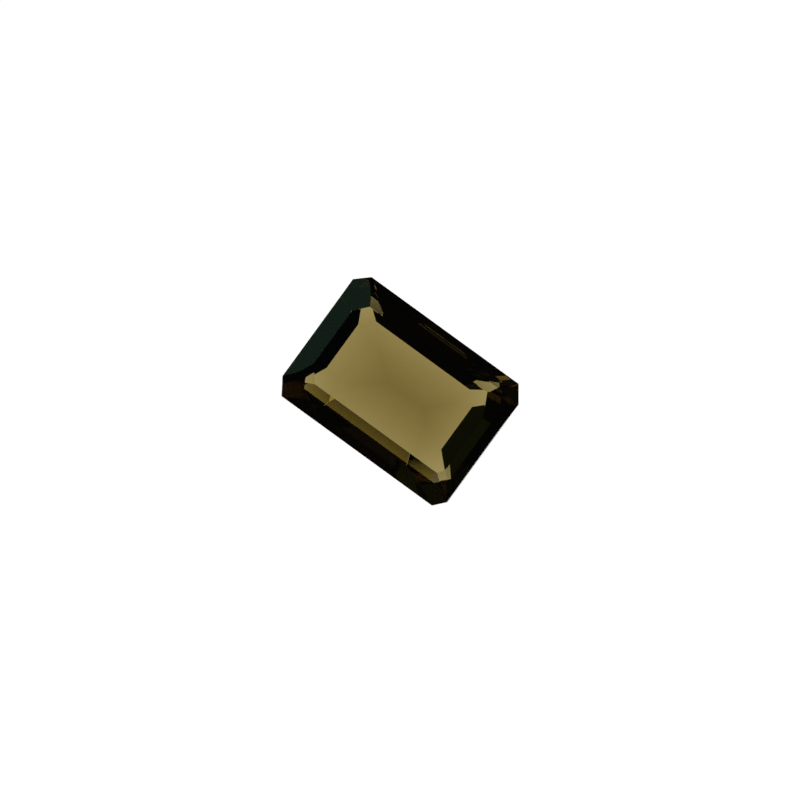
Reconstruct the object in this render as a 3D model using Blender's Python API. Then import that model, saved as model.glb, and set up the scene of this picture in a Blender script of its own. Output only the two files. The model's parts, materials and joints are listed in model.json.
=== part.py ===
# Smoky quartz in an emerald cut: one eight-sided, step-cut stone.
#
# The stone is made the way a cutter makes it. A block of rough is cut by one
# plane for each facet: the table, three crown steps, the girdle and three
# pavilion steps, the lowest of which meet in a short keel. Then the stone is
# laid down on the front facet of its lowest step, as it comes to rest on a
# flat surface.
#
# While it is cut, X runs along the stone, Y across it and Z up through the
# table, with Z = 0 at mid-girdle. Lengths are in millimetres until the end,
# and angles in degrees.

import math
from collections import namedtuple

import bmesh
import bpy
from mathutils import Vector

MM = 0.001

# The heights of the level edges between the steps, from the table down. The
# fourth and fifth are the upper and lower edges of the girdle.
HEIGHTS = (1.168, 0.843, 0.547, 0.141, -0.147, -2.569, -3.635)

# Each side of the stone. It faces that many degrees round from +X as seen from
# above. The slopes are those of the first two crown steps, and the rest is how
# far the side's level edges lie from the stone's axis: at the table, at the
# girdle and at the two edges between the pavilion's steps.
Side = namedtuple("Side", "facing table first_slope second_slope girdle upper_pavilion lower_pavilion")
SIDES = {
    "right": Side(0.0, 5.60, 21.9, 29.6, 6.97, 5.69, 4.48),
    "back_right": Side(36.0, 5.76, 23.3, 25.9, 7.92, 6.31, 4.62),
    "back": Side(90.0, 3.28, 26.2, 29.6, 5.01, 3.78, 2.83),
    "back_left": Side(132.5, 5.86, 24.2, 28.9, 7.77, 6.46, 4.92),
    "left": Side(180.0, 5.73, 24.8, 30.0, 6.97, 5.67, 4.96),
    "front_left": Side(213.0, 5.67, 12.5, 21.0, 7.96, 6.31, 4.68),
    "front": Side(270.0, 3.058, 25.86, 27.94, 5.01, 3.749, 2.987),
    "front_right": Side(318.0, 6.06, 15.8, 29.6, 8.00, 6.09, 4.40),
}

# On a hand-cut stone a corner's facets don't all face the way its girdle does.
# This is how far they are turned from it, counter-clockwise as seen from above,
# and the slope of the lowest one, which stops short of the keel.
Corner = namedtuple("Corner", "first_crown_turn lower_crown_turn middle_turn lowest_turn lowest_slope")
CORNERS = {
    "back_right": Corner(-9.5, 2.4, 7.5, 12.4, 30.6),
    "back_left": Corner(6.0, -4.9, 3.5, -1.7, 24.5),
    "front_left": Corner(7.2, 2.5, 11.0, 15.9, 29.0),
    "front_right": Corner(6.8, -7.2, 1.0, -5.5, 30.9),
}

# The keel, a short level edge that the lowest facets of the straight sides meet in.
KEEL_HEIGHT = -5.376
KEEL_RIGHT = 1.80
KEEL_LEFT = -1.25
KEEL_Y = 0.04

# The block of rough is larger than the stone in every direction.
ROUGH_SIZE = 40.0

# Corners closer together than this are one meet of several facets.
MEET_TOLERANCE = 0.005

# Polished smoky quartz: the colour that white paper has when seen through it.
QUARTZ_COLOUR = (0.24, 0.20, 0.075, 1.0)
QUARTZ_ROUGHNESS = 0.01
QUARTZ_METALLIC = 0.0
QUARTZ_IOR = 1.547


def clear_scene():
    for old_object in list(bpy.data.objects):
        bpy.data.objects.remove(old_object, do_unlink=True)


def polished_quartz():
    material = bpy.data.materials.new("polished_smoky_quartz")
    material.use_nodes = True
    shader = material.node_tree.nodes["Principled BSDF"]
    shader.inputs["Base Color"].default_value = QUARTZ_COLOUR
    shader.inputs["Roughness"].default_value = QUARTZ_ROUGHNESS
    shader.inputs["Metallic"].default_value = QUARTZ_METALLIC
    shader.inputs["IOR"].default_value = QUARTZ_IOR
    shader.inputs["Transmission Weight"].default_value = 1.0
    return material


def level_direction(degrees):
    return Vector((math.cos(math.radians(degrees)), math.sin(math.radians(degrees)), 0.0))


def side_reaches(side):
    """How far the side lies from the stone's axis at each of the heights."""
    first_drop, second_drop = HEIGHTS[0] - HEIGHTS[1], HEIGHTS[1] - HEIGHTS[2]
    second = side.table + first_drop / math.tan(math.radians(side.first_slope))
    third = second + second_drop / math.tan(math.radians(side.second_slope))
    return (side.table, second, third, side.girdle, side.girdle, side.upper_pavilion, side.lower_pavilion)


def step_turns(name):
    """How far each step of the side is turned, from the first crown step to the lowest one."""
    if name not in CORNERS:
        return (0.0,) * 7
    corner = CORNERS[name]
    crown = (corner.first_crown_turn, corner.lower_crown_turn, corner.lower_crown_turn)
    return crown + (0.0, 0.0, corner.middle_turn, corner.lowest_turn)


def keel_reach(name, direction):
    """How far the side's lowest facet lies from the stone's axis at the keel's height."""
    if name in CORNERS:
        drop = HEIGHTS[-1] - KEEL_HEIGHT
        return SIDES[name].lower_pavilion - drop / math.tan(math.radians(CORNERS[name].lowest_slope))
    keel_x = KEEL_RIGHT if direction.x > 0.0 else KEEL_LEFT
    return direction.dot(Vector((keel_x, KEEL_Y, 0.0)))


def facet_planes(name):
    """A point on each of the side's facets and the facet's outward normal, from the crown down."""
    side = SIDES[name]
    reaches = side_reaches(side)
    heights = HEIGHTS + (KEEL_HEIGHT,)
    planes = []
    for step, turn in enumerate(step_turns(name)):
        direction = level_direction(side.facing + turn)
        is_lowest = step == len(reaches) - 1
        lower_reach = keel_reach(name, direction) if is_lowest else reaches[step + 1]
        upper = direction * reaches[step] + Vector((0.0, 0.0, heights[step]))
        lower = direction * lower_reach + Vector((0.0, 0.0, heights[step + 1]))
        along_edge = Vector((0.0, 0.0, 1.0)).cross(direction)
        planes.append((upper, along_edge.cross(upper - lower).normalized()))
    return planes


def cut(stone, point, normal):
    """Cuts away what lies beyond the plane and closes the stone with a flat facet."""
    everything = stone.verts[:] + stone.edges[:] + stone.faces[:]
    result = bmesh.ops.bisect_plane(
        stone, geom=everything, plane_co=point, plane_no=normal, clear_outer=True
    )
    rim = [item for item in result["geom_cut"] if isinstance(item, bmesh.types.BMEdge)]
    if rim:
        bmesh.ops.edgeloop_fill(stone, edges=rim)


def cut_stone():
    stone = bmesh.new()
    bmesh.ops.create_cube(stone, size=ROUGH_SIZE)
    cut(stone, Vector((0.0, 0.0, HEIGHTS[0])), Vector((0.0, 0.0, 1.0)))
    for name in SIDES:
        for point, normal in facet_planes(name):
            cut(stone, point, normal)
    bmesh.ops.remove_doubles(stone, verts=stone.verts, dist=MEET_TOLERANCE)
    bmesh.ops.scale(stone, vec=(MM, MM, MM), verts=stone.verts)
    bmesh.ops.recalc_face_normals(stone, faces=stone.faces)
    return stone


def lay_down(stone_object):
    """Turns the stone onto its lowest front facet and stands it centred on the origin."""
    resting_normal = facet_planes("front")[-1][1]
    turn = resting_normal.rotation_difference(Vector((0.0, 0.0, -1.0)))
    corners = [turn @ vertex.co for vertex in stone_object.data.vertices]
    middle_x = (min(c.x for c in corners) + max(c.x for c in corners)) / 2.0
    middle_y = (min(c.y for c in corners) + max(c.y for c in corners)) / 2.0
    lowest_z = min(c.z for c in corners)
    stone_object.rotation_mode = "QUATERNION"
    stone_object.rotation_quaternion = turn
    stone_object.location = (-middle_x, -middle_y, -lowest_z)


def build():
    clear_scene()
    stone = cut_stone()
    mesh = bpy.data.meshes.new("smoky_quartz")
    stone.to_mesh(mesh)
    stone.free()
    mesh.materials.append(polished_quartz())
    stone_object = bpy.data.objects.new("smoky_quartz", mesh)
    bpy.context.scene.collection.objects.link(stone_object)
    lay_down(stone_object)


build()
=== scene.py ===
import json
import math

import bmesh
import bpy
from mathutils import Matrix, Vector


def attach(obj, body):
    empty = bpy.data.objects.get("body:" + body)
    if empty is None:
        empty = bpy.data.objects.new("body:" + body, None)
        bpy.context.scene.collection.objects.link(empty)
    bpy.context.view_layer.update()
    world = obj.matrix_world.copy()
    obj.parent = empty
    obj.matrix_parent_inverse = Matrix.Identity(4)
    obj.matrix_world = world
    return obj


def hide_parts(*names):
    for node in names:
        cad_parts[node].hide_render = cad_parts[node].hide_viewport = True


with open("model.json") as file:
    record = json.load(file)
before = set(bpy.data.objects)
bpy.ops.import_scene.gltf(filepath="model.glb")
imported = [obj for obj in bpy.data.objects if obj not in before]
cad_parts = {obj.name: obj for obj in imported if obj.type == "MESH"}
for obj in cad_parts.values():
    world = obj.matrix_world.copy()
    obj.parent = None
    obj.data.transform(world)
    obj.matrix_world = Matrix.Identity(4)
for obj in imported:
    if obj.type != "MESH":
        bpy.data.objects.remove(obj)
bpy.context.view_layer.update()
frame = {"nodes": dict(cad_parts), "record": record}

mm = 0.001  # everything is in metres, so a size in millimetres is written as 5 * mm


def linearColor(hexCode):
    # sRGB hex, such as "c8be6e", to the linear values that a shader takes
    channels = [int(hexCode[i:i + 2], 16) / 255 for i in (0, 2, 4)]
    return [c / 12.92 if c <= 0.04045 else ((c + 0.055) / 1.055) ** 2.4 for c in channels] + [1.0]


def addNode(tree, kind, settings=None, **inputs):
    # inputs are named as on the node, with _ for a space, or _0, _1 for their number
    node = tree.nodes.new(kind)
    for name, value in (settings or {}).items():
        setattr(node, name, value)
    for name, value in inputs.items():
        socket = node.inputs[int(name[1:])] if name[1:].isdigit() else node.inputs[name.replace("_", " ")]
        if isinstance(value, bpy.types.NodeSocket):
            tree.links.new(value, socket)
        else:
            socket.default_value = value
    return node


def mount(name):
    place = next(m for m in frame["record"]["mounts"] if m["name"] == name)
    return Vector(place["pos_m"]), Vector(place["axis"]).normalized()


# The stone lies on a front facet, so its own axis leans. These are its table's
# direction, how far that leans, and the middle of its girdle.
tableFacing = mount("table")[1]
axisLean = math.atan2(-tableFacing.y, tableFacing.z)
girdleMiddle = (mount("girdle_front")[0] + mount("girdle_back")[0]) / 2
girdleMiddle.x = 0.0


# The stone: polished smoky quartz, cut in steps

stone = {
    "edgeWear": 0.012 * mm,  # how far polishing has rounded each facet's edge
    "farthestWear": 4.0,  # times that, and no sharp corner of a facet is worn back farther
    "seamWidth": 0.001 * mm,  # corners of the solid that are closer than this are one corner
    "flatWithin": 0.3,  # degrees between two triangles that belong to one facet
    "smallestFacet": 0.01 * mm * mm,  # a sliver below this is left for the worn edges to cover
    "ior": 1.547,  # quartz
    "bodyColor": "b5a559",  # what a thick slice lets through
    "bodyDensity": 420.0,  # per metre
    "tint": "f3ecbd",  # and what all of it is tinted with
    "cloudTint": "ebe3b0",
    "cloudSize": 2.5 * mm,
    "paintedStripTint": "ffe15b",  # painted light: a warm amber strip under the front crown step, standing in for light that passes there near the critical angle
    "paintedStripReach": (3.06 * mm, 3.16 * mm),  # how far from the stone's axis it begins
    "paintedStripHalfLength": (5.1 * mm, 5.3 * mm),  # where it ends to the left and right
    "paintedStripHeight": 0.2 * mm,  # and how far above mid-girdle
    "polishSize": 0.5 * mm,  # across the wheel's finest marks
    "polishRoughness": (0.0, 0.012),
    "polishDepth": 0.00005 * mm,
}


def polishedSmokyQuartz():
    # clear and glassy outside, with a brown-yellow body that darkens with its depth and
    # is faintly clouded, and with the traces of a polishing wheel, which blur only what
    # is seen at a near-grazing angle
    material = bpy.data.materials.new("smokyQuartzPolished")
    material.use_nodes = True
    tree = material.node_tree
    shader = tree.nodes["Principled BSDF"]
    shader.inputs["Transmission Weight"].default_value = 1.0
    shader.inputs["IOR"].default_value = stone["ior"]
    surface = addNode(tree, "ShaderNodeTexCoord").outputs["Object"]
    upright = addNode(tree, "ShaderNodeMapping", {"vector_type": "TEXTURE"}, Vector=surface,
                      Location=girdleMiddle, Rotation=(axisLean, 0.0, 0.0)).outputs[0]
    clouds = addNode(tree, "ShaderNodeTexNoise", Vector=upright,
                     Scale=1 / stone["cloudSize"], Detail=2.0)
    clouded = addNode(tree, "ShaderNodeMix", {"data_type": "RGBA"}, Factor=clouds.outputs["Fac"],
                      _6=linearColor(stone["tint"]), _7=linearColor(stone["cloudTint"]))
    place = addNode(tree, "ShaderNodeSeparateXYZ", Vector=upright).outputs
    # painted light: the amber strip under the front crown step, masked in front of the axis, above
    # mid-girdle and between its two ends
    front = addNode(tree, "ShaderNodeMapRange", {"interpolation_type": "SMOOTHSTEP"}, Value=place["Y"],
                    From_Min=-stone["paintedStripReach"][0], From_Max=-stone["paintedStripReach"][1])
    above = addNode(tree, "ShaderNodeMath", {"operation": "GREATER_THAN"},
                    _0=place["Z"], _1=stone["paintedStripHeight"])
    aside = addNode(tree, "ShaderNodeMath", {"operation": "ABSOLUTE"}, _0=place["X"])
    middle = addNode(tree, "ShaderNodeMapRange", {"interpolation_type": "SMOOTHSTEP"},
                     Value=aside.outputs[0], From_Min=stone["paintedStripHalfLength"][1],
                     From_Max=stone["paintedStripHalfLength"][0])
    band = addNode(tree, "ShaderNodeMath", {"operation": "MULTIPLY"},
                   _0=front.outputs["Result"], _1=above.outputs[0])
    paintedStripMask = addNode(tree, "ShaderNodeMath", {"operation": "MULTIPLY"},
                   _0=band.outputs[0], _1=middle.outputs["Result"])
    paintedStripColor = addNode(tree, "ShaderNodeMix", {"data_type": "RGBA"}, Factor=paintedStripMask.outputs[0],
                    _6=clouded.outputs[2], _7=linearColor(stone["paintedStripTint"]))
    tree.links.new(paintedStripColor.outputs[2], shader.inputs["Base Color"])
    marks = addNode(tree, "ShaderNodeTexNoise", Vector=upright,
                    Scale=1 / stone["polishSize"], Detail=3.0)
    dull = addNode(tree, "ShaderNodeMapRange", Value=marks.outputs["Fac"],
                   To_Min=stone["polishRoughness"][0], To_Max=stone["polishRoughness"][1])
    tree.links.new(dull.outputs["Result"], shader.inputs["Roughness"])
    waves = addNode(tree, "ShaderNodeBump", Height=marks.outputs["Fac"],
                    Strength=1.0, Distance=stone["polishDepth"])
    tree.links.new(waves.outputs["Normal"], shader.inputs["Normal"])
    body = addNode(tree, "ShaderNodeVolumeAbsorption",
                   Color=linearColor(stone["bodyColor"]), Density=stone["bodyDensity"])
    tree.links.new(body.outputs["Volume"], tree.nodes["Material Output"].inputs["Volume"])
    return material


def wornFacetsTree():
    # pulls every facet's outline in by the wear, then stretches a skin over all of
    # them, which keeps the facets flat and joins them by narrow slanted edges
    tree = bpy.data.node_groups.new("wornFacets", "GeometryNodeTree")
    for name, kind in (("Stone", "NodeSocketGeometry"), ("Edge Wear", "NodeSocketFloat"),
                       ("Farthest Wear", "NodeSocketFloat"), ("Finish", "NodeSocketMaterial")):
        tree.interface.new_socket(name, in_out="INPUT", socket_type=kind)
    tree.interface.new_socket("Stone", in_out="OUTPUT", socket_type="NodeSocketGeometry")
    given = tree.nodes.new("NodeGroupInput").outputs
    loose = addNode(tree, "GeometryNodeSplitEdges", Mesh=given["Stone"])
    here = addNode(tree, "GeometryNodeInputPosition").outputs[0]
    corner = addNode(tree, "GeometryNodeCornersOfVertex").outputs["Corner Index"]
    ways = []
    for step in (1, -1):  # to the facet's next corner and to the one before
        beside = addNode(tree, "GeometryNodeOffsetCornerInFace", Corner_Index=corner, Offset=step)
        vertex = addNode(tree, "GeometryNodeVertexOfCorner", Corner_Index=beside.outputs[0])
        there = addNode(tree, "GeometryNodeFieldAtIndex", {"data_type": "FLOAT_VECTOR", "domain": "POINT"},
                        Value=here, Index=vertex.outputs[0])
        way = addNode(tree, "ShaderNodeVectorMath", {"operation": "SUBTRACT"},
                      _0=there.outputs[0], _1=here)
        unit = addNode(tree, "ShaderNodeVectorMath", {"operation": "NORMALIZE"}, _0=way.outputs[0])
        ways.append(unit.outputs[0])
    inward = addNode(tree, "ShaderNodeVectorMath", {"operation": "ADD"}, _0=ways[0], _1=ways[1])
    square = addNode(tree, "ShaderNodeVectorMath", {"operation": "CROSS_PRODUCT"}, _0=ways[0], _1=ways[1])
    sine = addNode(tree, "ShaderNodeVectorMath", {"operation": "LENGTH"}, _0=square.outputs[0])
    reach = addNode(tree, "ShaderNodeMath", {"operation": "DIVIDE"},
                    _0=given["Edge Wear"], _1=sine.outputs["Value"])
    pull = addNode(tree, "ShaderNodeVectorMath", {"operation": "SCALE"},
                   _0=inward.outputs[0], Scale=reach.outputs[0])
    # a needle-sharp corner would be carried right across the facet, so it stops earlier
    length = addNode(tree, "ShaderNodeVectorMath", {"operation": "LENGTH"}, _0=pull.outputs[0])
    share = addNode(tree, "ShaderNodeMath", {"operation": "DIVIDE", "use_clamp": True},
                    _0=given["Farthest Wear"], _1=length.outputs["Value"])
    kept = addNode(tree, "ShaderNodeVectorMath", {"operation": "SCALE"},
                   _0=pull.outputs[0], Scale=share.outputs[0])
    smaller = addNode(tree, "GeometryNodeSetPosition", Geometry=loose.outputs[0], Offset=kept.outputs[0])
    skin = addNode(tree, "GeometryNodeConvexHull", Geometry=smaller.outputs[0])
    whole = addNode(tree, "GeometryNodeRealizeInstances", Geometry=skin.outputs[0])
    done = addNode(tree, "GeometryNodeSetMaterial", Geometry=whole.outputs[0], Material=given["Finish"])
    addNode(tree, "NodeGroupOutput", _0=done.outputs[0])
    return tree


def facetedCopy(node):
    # the solid with its triangles joined into whole facets
    mesh = bpy.data.meshes.new("facets")
    shape = bmesh.new()
    shape.from_mesh(frame["nodes"][node].data)
    bmesh.ops.remove_doubles(shape, verts=shape.verts, dist=stone["seamWidth"])
    bmesh.ops.dissolve_limit(shape, angle_limit=math.radians(stone["flatWithin"]),
                             verts=shape.verts, edges=shape.edges)
    slivers = [face for face in shape.faces if face.calc_area() < stone["smallestFacet"]]
    bmesh.ops.delete(shape, geom=slivers, context="FACES")
    shape.to_mesh(mesh)
    shape.free()
    return mesh


def makeStone():
    blank = bpy.data.objects.new("blank", facetedCopy("smoky_quartz"))
    bpy.context.scene.collection.objects.link(blank)
    wear = blank.modifiers.new("wornFacets", "NODES")
    tree = wornFacetsTree()
    wear.node_group = tree
    sockets = {item.name: item.identifier for item in tree.interface.items_tree
               if item.in_out == "INPUT"}
    wear[sockets["Edge Wear"]] = stone["edgeWear"]
    wear[sockets["Farthest Wear"]] = stone["edgeWear"] * stone["farthestWear"]
    wear[sockets["Finish"]] = polishedSmokyQuartz()
    bpy.context.view_layer.update()
    finished = blank.evaluated_get(bpy.context.evaluated_depsgraph_get())
    mesh = bpy.data.meshes.new_from_object(finished)
    mesh.name = "smokyQuartz"
    bpy.data.objects.remove(blank, do_unlink=True)
    cut = bpy.data.objects.new("smokyQuartz", mesh)
    bpy.context.scene.collection.objects.link(cut)
    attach(cut, "root")
    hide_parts("smoky_quartz")
    print("stone:", len(mesh.vertices), "corners,", len(mesh.polygons), "faces")


# The studio: a pale sheet that glows like a light table, its glow a painted pool of light brightest around
# the stone, in a dim room

studio = {
    "floorRadius": 900 * mm,
    "floorSides": 96,
    "floorDrop": 0.03 * mm,  # of its glow, painted light with no lamp beneath it
    "floorGlowColor": "fcfcfb",  # of the light that comes through
    "floorPaint": (0.04, 0.04, 0.04, 1.0),  # and what it throws back of other light
    "floorRoughness": 0.9,
    "nearGlow": 1.05,  # how bright the sheet shines around the stone
    "farGlow": 0.25,  # and far away from it
    "nearRadius": 50 * mm,
    "farRadius": 220 * mm,
    "roomGlow": 0.02,
}

softbox = {
    "azimuth": 190.0,  # where it hangs, in degrees as seen from the stone
    "elevation": 40.0,
    "width": 60.0,  # how many degrees it takes up there
    "height": 44.0,
    "distance": 700 * mm,
    "glow": 0.26,
    "color": "bcffd4",
}


def makeFloor():
    mesh = bpy.data.meshes.new("floor")
    shape = bmesh.new()
    bmesh.ops.create_circle(shape, cap_ends=True, segments=studio["floorSides"],
                             radius=studio["floorRadius"])
    shape.to_mesh(mesh)
    shape.free()
    floor = bpy.data.objects.new("floor", mesh)
    floor.location.z = -studio["floorDrop"]
    bpy.context.scene.collection.objects.link(floor)
    # a white sheet without any gloss that glows by itself: painted light, in a pool brightest around the
    # stone that fades with distance
    glowingSheet = bpy.data.materials.new("floorPaintedGlow")
    glowingSheet.use_nodes = True
    tree = glowingSheet.node_tree
    shader = tree.nodes["Principled BSDF"]
    shader.inputs["Base Color"].default_value = studio["floorPaint"]
    shader.inputs["Roughness"].default_value = studio["floorRoughness"]
    shader.inputs["Specular IOR Level"].default_value = 0.0
    shader.inputs["Emission Color"].default_value = linearColor(studio["floorGlowColor"])
    # painted pool of light: the glow is strongest near the stone and fades out farther away
    place = addNode(tree, "ShaderNodeTexCoord").outputs["Object"]
    away = addNode(tree, "ShaderNodeVectorMath", {"operation": "LENGTH"}, _0=place).outputs["Value"]
    glow = addNode(tree, "ShaderNodeMapRange", {"interpolation_type": "SMOOTHSTEP"}, Value=away,
                   From_Min=studio["nearRadius"], From_Max=studio["farRadius"],
                   To_Min=studio["nearGlow"], To_Max=studio["farGlow"])
    tree.links.new(glow.outputs["Result"], shader.inputs["Emission Strength"])
    mesh.materials.append(glowingSheet)


def makeRoom():
    world = bpy.data.worlds.new("studioRoom")
    bpy.context.scene.world = world
    world.use_nodes = True
    background = world.node_tree.nodes["Background"]
    background.inputs["Color"].default_value = (1.0, 1.0, 1.0, 1.0)
    background.inputs["Strength"].default_value = studio["roomGlow"]


def makeSoftbox():
    # a dim cloth panel that faces the stone and shows in the crown at its left
    azimuth, elevation = math.radians(softbox["azimuth"]), math.radians(softbox["elevation"])
    level = Vector((math.cos(azimuth), math.sin(azimuth), 0.0))
    toward = level * math.cos(elevation) + Vector((0.0, 0.0, math.sin(elevation)))
    side = Vector((-level.y, level.x, 0.0))
    rise = toward.cross(side)
    halfWide = math.tan(math.radians(softbox["width"] / 2)) * softbox["distance"]
    halfHigh = math.tan(math.radians(softbox["height"] / 2)) * softbox["distance"]
    corners = [toward * softbox["distance"] + side * x * halfWide + rise * y * halfHigh
               for x, y in ((-1, -1), (1, -1), (1, 1), (-1, 1))]
    mesh = bpy.data.meshes.new("leftSoftbox")
    mesh.from_pydata(corners, [], [(0, 1, 2, 3)])
    cloth = bpy.data.materials.new("leftSoftboxCloth")
    cloth.use_nodes = True
    cloth.node_tree.nodes.clear()
    lit = addNode(cloth.node_tree, "ShaderNodeEmission",
                  Color=linearColor(softbox["color"]), Strength=softbox["glow"])
    addNode(cloth.node_tree, "ShaderNodeOutputMaterial", Surface=lit.outputs[0])
    mesh.materials.append(cloth)
    panel = bpy.data.objects.new("leftSoftbox", mesh)
    bpy.context.scene.collection.objects.link(panel)


def makeStudio():
    makeFloor()
    makeRoom()
    makeSoftbox()
    print("studio: floor, room and softbox")


# The camera looks straight down on the table, turned so that the stone lies aslant

view = {
    "sensorWidth": 36.0,  # millimetres, as on a lens's label
    "distance": 785 * mm,
    "frameWidth": 53.62 * mm,  # what the picture takes in at the stone
    "leanRight": 1.65,  # degrees that the camera stands off the table's axis, to the right
    "leanBack": -1.54,  # and towards the stone's back
    "turn": 36.0,  # degrees that the long side slopes down to the right
    "stoneRight": 0.031 * mm,  # where the stone's middle lies from the picture's
    "stoneUp": 0.643 * mm,
}


def makeCamera():
    along = Vector((1.0, 0.0, 0.0))
    across = tableFacing.cross(along)
    toRight = along * math.tan(math.radians(view["leanRight"]))
    toBack = across * math.tan(math.radians(view["leanBack"]))
    back = (tableFacing + toRight + toBack).normalized()
    right = (along - back * along.dot(back)).normalized()
    up = back.cross(right)
    turn = math.radians(view["turn"])
    x = right * math.cos(turn) + up * math.sin(turn)
    y = up * math.cos(turn) - right * math.sin(turn)
    place = girdleMiddle - x * view["stoneRight"] - y * view["stoneUp"] + back * view["distance"]
    lens = bpy.data.cameras.new("macroLens")
    lens.sensor_width = view["sensorWidth"]
    lens.lens = lens.sensor_width * view["distance"] / view["frameWidth"]
    lens.clip_start = 10 * mm
    lens.clip_end = 5000 * mm
    camera = bpy.data.objects.new("camera", lens)
    camera.matrix_world = Matrix.Translation(place) @ Matrix((x, y, back)).transposed().to_4x4()
    bpy.context.scene.collection.objects.link(camera)
    bpy.context.scene.camera = camera
    print("camera:", round(lens.lens), "mm lens")


makeStone()
makeStudio()
makeCamera()
bpy.context.scene.view_settings.view_transform = "Standard"
